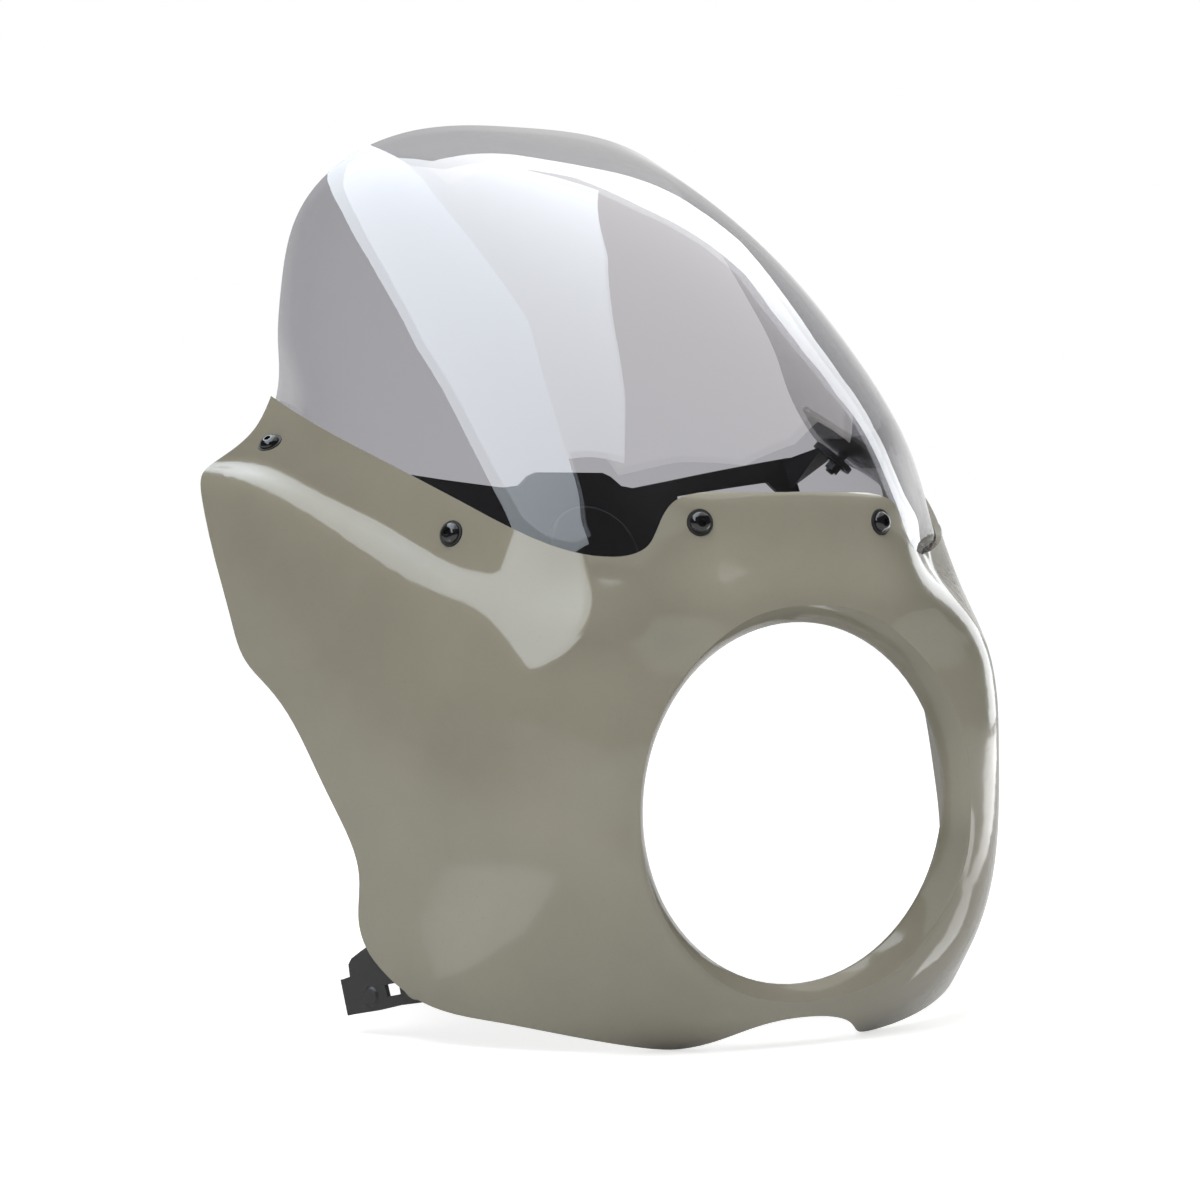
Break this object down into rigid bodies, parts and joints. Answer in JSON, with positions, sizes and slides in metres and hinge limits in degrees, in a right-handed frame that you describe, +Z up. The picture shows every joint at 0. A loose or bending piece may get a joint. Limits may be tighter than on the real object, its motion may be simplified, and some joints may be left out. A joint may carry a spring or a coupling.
{
  "type": "headlight cowl",
  "caption": "One-piece moulded cowl for a round motorbike headlamp, with a clear bubble screen bolted behind its flange, an inner dash bracket and rear fixing tabs.",
  "frame": {"origin": "centre of the round lamp opening, on its axis where the straight lip begins", "axes": "+Z up, the front faces -Y, +X to the right as seen from the front"},
  "size_m": [0.421, 0.2948, 0.4654],
  "materials": {
    "cowl_paint": "gloss",
    "clear_screen": "gloss",
    "bracket_black": "satin",
    "black_screw": "gloss",
    "black_nylon": "matte",
    "brass_insert": "satin"
  },
  "bodies": {
    "root": {"cowl_shell": "cowl_paint", "windscreen": "clear_screen", "dash_bracket": "bracket_black", "lower_tab_left": "bracket_black", "screen_screw_front_left": "black_screw", "screw_collar_front_left": "black_nylon", "screen_washer_front_left": "black_screw", "screen_nut_front_left": "black_screw", "screen_screw_side_left": "black_screw", "screw_collar_side_left": "black_nylon", "screen_washer_side_left": "black_screw", "screen_nut_side_left": "black_screw", "screen_screw_rear_left": "black_screw", "screw_collar_rear_left": "black_nylon", "screen_washer_rear_left": "black_screw", "screen_nut_rear_left": "black_screw", "tab_screw_front_left": "black_screw", "tab_insert_front_left": "brass_insert", "tab_screw_rear_left": "black_screw", "tab_insert_rear_left": "brass_insert", "lower_tab_right": "bracket_black", "screen_screw_front_right": "black_screw", "screw_collar_front_right": "black_nylon", "screen_washer_front_right": "black_screw", "screen_nut_front_right": "black_screw", "screen_screw_side_right": "black_screw", "screw_collar_side_right": "black_nylon", "screen_washer_side_right": "black_screw", "screen_nut_side_right": "black_screw", "screen_screw_rear_right": "black_screw", "screw_collar_rear_right": "black_nylon", "screen_washer_rear_right": "black_screw", "screen_nut_rear_right": "black_screw", "tab_screw_front_right": "black_screw", "tab_insert_front_right": "brass_insert", "tab_screw_rear_right": "black_screw", "tab_insert_rear_right": "brass_insert"}
  },
  "joints": []
}
